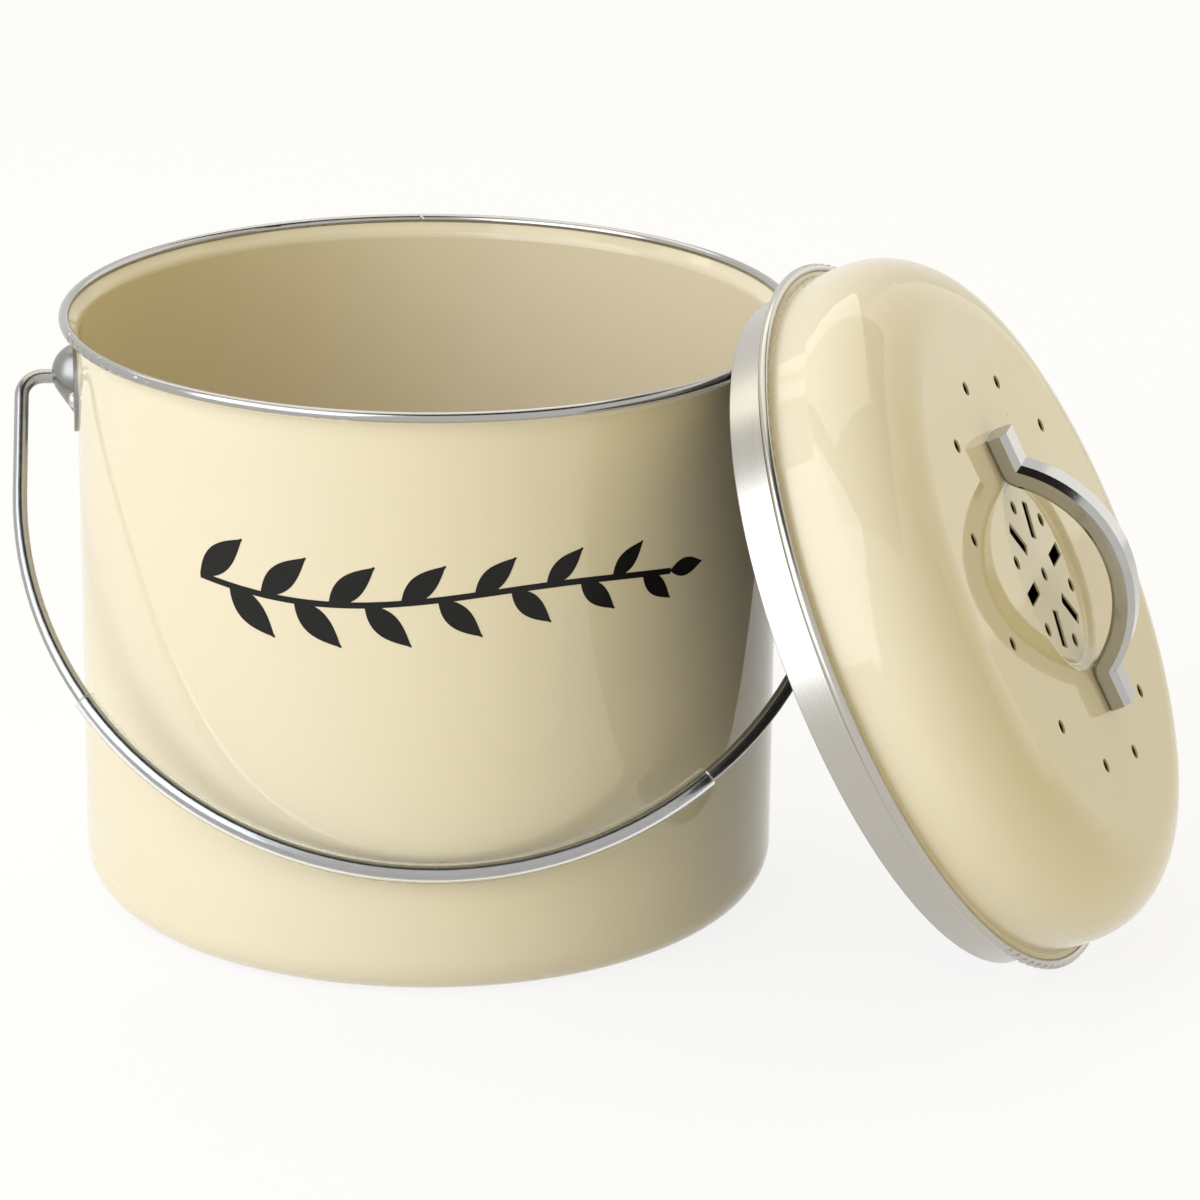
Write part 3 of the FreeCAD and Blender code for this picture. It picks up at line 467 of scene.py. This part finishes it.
def felt_profile():
    """Half of the disc's section, as (radius, height) from the middle of the underside to that of the top."""
    flat = FELT_RADIUS - FELT_EDGE
    steps = [flat * ring / FELT_RINGS for ring in range(1, FELT_RINGS + 1)]
    edge = [(index + 1) / (FELT_EDGE_STEPS + 1) * math.pi for index in range(FELT_EDGE_STEPS)]
    under = [(radius, -FELT_HALF_THICKNESS) for radius in steps]
    side = [(flat + FELT_EDGE * math.sin(turn), -FELT_HALF_THICKNESS * math.cos(turn)) for turn in edge]
    over = [(radius, FELT_HALF_THICKNESS) for radius in reversed(steps)]
    return under + side + over


def make_felt_disc():
    """The charcoal felt, with an uneven, fuzzy surface, in the space of its CAD solid."""
    builder = bmesh.new()

    def point(radius, turn, height):
        local = Vector((radius * math.cos(turn), radius * math.sin(turn), height))
        place = LID_FRAME @ local
        fuzz = noise.noise(place * FELT_FUZZ_SCALE) * FELT_FUZZ
        return builder.verts.new(place + LID_AXIS * fuzz)

    turns = [2 * math.pi * index / FELT_SPOKES for index in range(FELT_SPOKES)]
    rows = [[point(radius, turn, height) for turn in turns] for radius, height in felt_profile()]
    for lower, upper in zip(rows, rows[1:]):
        for index in range(FELT_SPOKES):
            after = (index + 1) % FELT_SPOKES
            builder.faces.new((lower[index], lower[after], upper[after], upper[index]))
    for row, height in ((rows[0], -FELT_HALF_THICKNESS), (rows[-1], FELT_HALF_THICKNESS)):
        hub = point(0, 0, height)
        for index in range(FELT_SPOKES):
            builder.faces.new((hub, row[index], row[(index + 1) % FELT_SPOKES]))
    for face in builder.faces:
        face.smooth = True
    felt = new_piece("charcoal_felt_disc", builder, make_felt(), "lid")
    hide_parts("charcoal_filter")


# The sprig is laid out flat, as arc length from the front and height, then wrapped on the wall
WALL_RADIUS = 97.8 * MILLIMETRE
PRINT_DEPTH = 0.06 * MILLIMETRE
SPRIG_HEIGHT = 114.5 * MILLIMETRE
SPRIG_HALF_LENGTH = 68.0 * MILLIMETRE
SPRIG_SAG = 2.5 * MILLIMETRE
STEM_HALF_WIDTH = 0.85 * MILLIMETRE
STEM_STEPS = 96
LEAF_PAIRS = 7
LEAF_LENGTH = 19.0 * MILLIMETRE
LEAF_HALF_WIDTH = 3.9 * MILLIMETRE
LEAF_ANGLE = math.radians(42.0)
LEAF_STEPS = 18
LEAF_BULGE_POWER = 0.85
LEAF_END_SHARE = 0.25
PAIR_MIDDLE_SHARE = 0.5
TIP_SHRINK_SHARE = 0.35
# A pair's leaves: which side of the stem, and how far along the pair's stretch of it
LEAF_SIDES = ((1, 0.0), (-1, 0.5))


def stem_height(arc):
    """The stem's height at an arc length: a shallow wave."""
    return SPRIG_HEIGHT + SPRIG_SAG * math.sin(math.pi * arc / SPRIG_HALF_LENGTH)


def wrap(arc, height, depth):
    """A flat point of the print, on the wall or just proud of it."""
    angle = arc / WALL_RADIUS
    radius = WALL_RADIUS + depth
    return Vector((radius * math.sin(angle), -radius * math.cos(angle), height))


def add_ribbon(builder, pairs):
    """A thin closed solid between two edges, given as pairs of flat points."""
    rows = []
    for left, right in pairs:
        corners = (
            (left, -PRINT_DEPTH),
            (left, PRINT_DEPTH),
            (right, PRINT_DEPTH),
            (right, -PRINT_DEPTH),
        )
        rows.append([builder.verts.new(wrap(*spot, depth)) for spot, depth in corners])
    for row, after in zip(rows, rows[1:]):
        for index in range(len(row)):
            step = (index + 1) % len(row)
            builder.faces.new((row[index], row[step], after[step], after[index]))
    builder.faces.new(rows[0])
    builder.faces.new(list(reversed(rows[-1])))


def leaf_pairs(root, direction, shrink):
    """The two edges of an almond leaf, from its stalk to its tip."""
    across = Vector((-direction.y, direction.x))
    pairs = []
    for step in range(LEAF_STEPS + 1):
        share = step / LEAF_STEPS
        bulge = math.sin(math.pi * share ** LEAF_BULGE_POWER)
        width = max(LEAF_HALF_WIDTH * shrink * bulge, STEM_HALF_WIDTH * LEAF_END_SHARE)
        spine = root + direction * (LEAF_LENGTH * shrink * share)
        pairs.append((spine + across * width, spine - across * width))
    return pairs


def make_sprig():
    """A plain leaf sprig: a wavy stem with leaves above and below it and one at its end."""
    builder = bmesh.new()
    arcs = [SPRIG_HALF_LENGTH * (2 * step / STEM_STEPS - 1) for step in range(STEM_STEPS + 1)]
    half = Vector((0, STEM_HALF_WIDTH))
    spine = [Vector((arc, stem_height(arc))) for arc in arcs]
    add_ribbon(builder, [(spot + half, spot - half) for spot in spine])
    for pair in range(LEAF_PAIRS):
        share = (pair + PAIR_MIDDLE_SHARE) / LEAF_PAIRS
        shrink = 1 - TIP_SHRINK_SHARE * share
        for side, lag in LEAF_SIDES:
            arc = SPRIG_HALF_LENGTH * (2 * (pair + lag) / LEAF_PAIRS - 1)
            root = Vector((arc, stem_height(arc)))
            direction = Vector((math.cos(LEAF_ANGLE), side * math.sin(LEAF_ANGLE)))
            add_ribbon(builder, leaf_pairs(root, direction, shrink))
    add_ribbon(builder, leaf_pairs(spine[-1], Vector((1, 0)), 1 - TIP_SHRINK_SHARE))
    new_piece("printed_leaf_sprig", builder, make_print_ink(), "bin")


# Stage: floor, card, world and lamps

FLOOR_SIZE = 12.0
FLOOR_LEVEL = -0.2 * MILLIMETRE
FLOOR_SHADE = 0.94
FLOOR_GLOW_SHARE = 0.86
CARD_SIZE = 5.0
CARD_LEVEL = 3.2
CARD_SHADE = 0.02
CARD_ROUGHNESS = 0.9
BACKGROUND_STRENGTH = 1.0
AMBIENT_STRENGTH = 0.63
WHITE = grey(1.0)
WARM = colour(1.0, 0.84, 0.28)
MILD = colour(1.0, 0.97, 0.86)
COOL = colour(0.84, 0.905, 1.0)


class Lamp(NamedTuple):
    """A softbox that faces the object."""
    name: str
    place: tuple
    width: float
    height: float
    watts: float
    tint: tuple


LAMP_AIM = Vector((0.03, 0.0, 0.09))
LAMPS = (
    Lamp("key_softbox", place=(-1.35, -1.15, 0.95), width=2.0, height=2.4, watts=38.5, tint=COOL),
    Lamp("top_softbox", place=(-0.20, 0.60, 1.70), width=1.7, height=1.7, watts=15.0, tint=MILD),
    Lamp("back_softbox", place=(1.30, 0.85, 0.80), width=1.6, height=1.8, watts=4.0, tint=MILD),
)


def where_shown(tree, share):
    """A share where the background shows, directly, in metal or through glass, and zero elsewhere."""
    path = tree.nodes.new("ShaderNodeLightPath").outputs
    switch = path["Is Camera Ray"]
    for name in ("Is Glossy Ray", "Is Transmission Ray"):
        either = tree.nodes.new("ShaderNodeMath")
        either.operation = "MAXIMUM"
        tree.links.new(switch, either.inputs[0])
        tree.links.new(path[name], either.inputs[1])
        switch = either.outputs[0]
    value = tree.nodes.new("ShaderNodeMath")
    value.operation = "MULTIPLY"
    tree.links.new(switch, value.inputs[0])
    value.inputs[1].default_value = share
    return value.outputs[0]


def mix_shown(tree, usual, shown, share=1.0):
    """One shader as usual, and a share of another where the background shows."""
    mixed = tree.nodes.new("ShaderNodeMixShader")
    tree.links.new(where_shown(tree, share), mixed.inputs["Fac"])
    tree.links.new(usual.outputs[0], mixed.inputs[1])
    tree.links.new(shown.outputs[0], mixed.inputs[2])
    return mixed.outputs[0]


def make_panel(name, size, level, material):
    """A level square of the stage."""
    half = size / 2
    corners = [(x, y, level) for x, y in ((-half, -half), (half, -half), (half, half), (-half, half))]
    mesh = bpy.data.meshes.new(name)
    mesh.from_pydata(corners, [], [range(len(corners))])
    mesh.materials.append(material)
    panel = bpy.data.objects.new(name, mesh)
    bpy.context.scene.collection.objects.link(panel)


def make_floor():
    """A plain white floor that keeps the object's shadow, faintly."""
    material = bpy.data.materials.new("floor_white")
    material.use_nodes = True
    tree = material.node_tree
    tree.nodes.clear()
    matt = tree.nodes.new("ShaderNodeBsdfDiffuse")
    matt.inputs["Color"].default_value = grey(FLOOR_SHADE)
    glow = tree.nodes.new("ShaderNodeEmission")
    glow.inputs["Color"].default_value = WHITE
    output = tree.nodes.new("ShaderNodeOutputMaterial")
    tree.links.new(mix_shown(tree, matt, glow, FLOOR_GLOW_SHARE), output.inputs["Surface"])
    make_panel("floor", FLOOR_SIZE, FLOOR_LEVEL, material)


def make_card():
    """A dark card high above, which draws dark lines along the polished steel."""
    graph = Graph("card_black", Base_Color=grey(CARD_SHADE), Roughness=CARD_ROUGHNESS)
    make_panel("dark_card", CARD_SIZE, CARD_LEVEL, graph.material)


def make_world():
    """White where it shows, and elsewhere a soft warm light."""
    world = bpy.data.worlds.new("studio")
    bpy.context.scene.world = world
    world.use_nodes = True
    tree = world.node_tree
    shown = tree.nodes["Background"]
    shown.inputs["Color"].default_value = WHITE
    shown.inputs["Strength"].default_value = BACKGROUND_STRENGTH
    light = tree.nodes.new("ShaderNodeBackground")
    light.inputs["Color"].default_value = WARM
    light.inputs["Strength"].default_value = AMBIENT_STRENGTH
    tree.links.new(mix_shown(tree, light, shown), tree.nodes["World Output"].inputs["Surface"])


def make_lamps():
    """Soft boxes to the left in front, above and behind on the right."""
    for lamp in LAMPS:
        data = bpy.data.lights.new(lamp.name, "AREA")
        data.shape = "RECTANGLE"
        data.size = lamp.width
        data.size_y = lamp.height
        data.energy = lamp.watts
        data.color = lamp.tint[:3]
        softbox = bpy.data.objects.new(lamp.name, data)
        softbox.location = lamp.place
        softbox.rotation_euler = (LAMP_AIM - Vector(lamp.place)).to_track_quat("-Z", "Y").to_euler()
        bpy.context.scene.collection.objects.link(softbox)


bpy.context.scene.view_settings.view_transform = "Standard"
make_camera()
make_floor()
make_card()
make_world()
make_lamps()
paint_nodes()
make_felt_disc()
make_sprig()
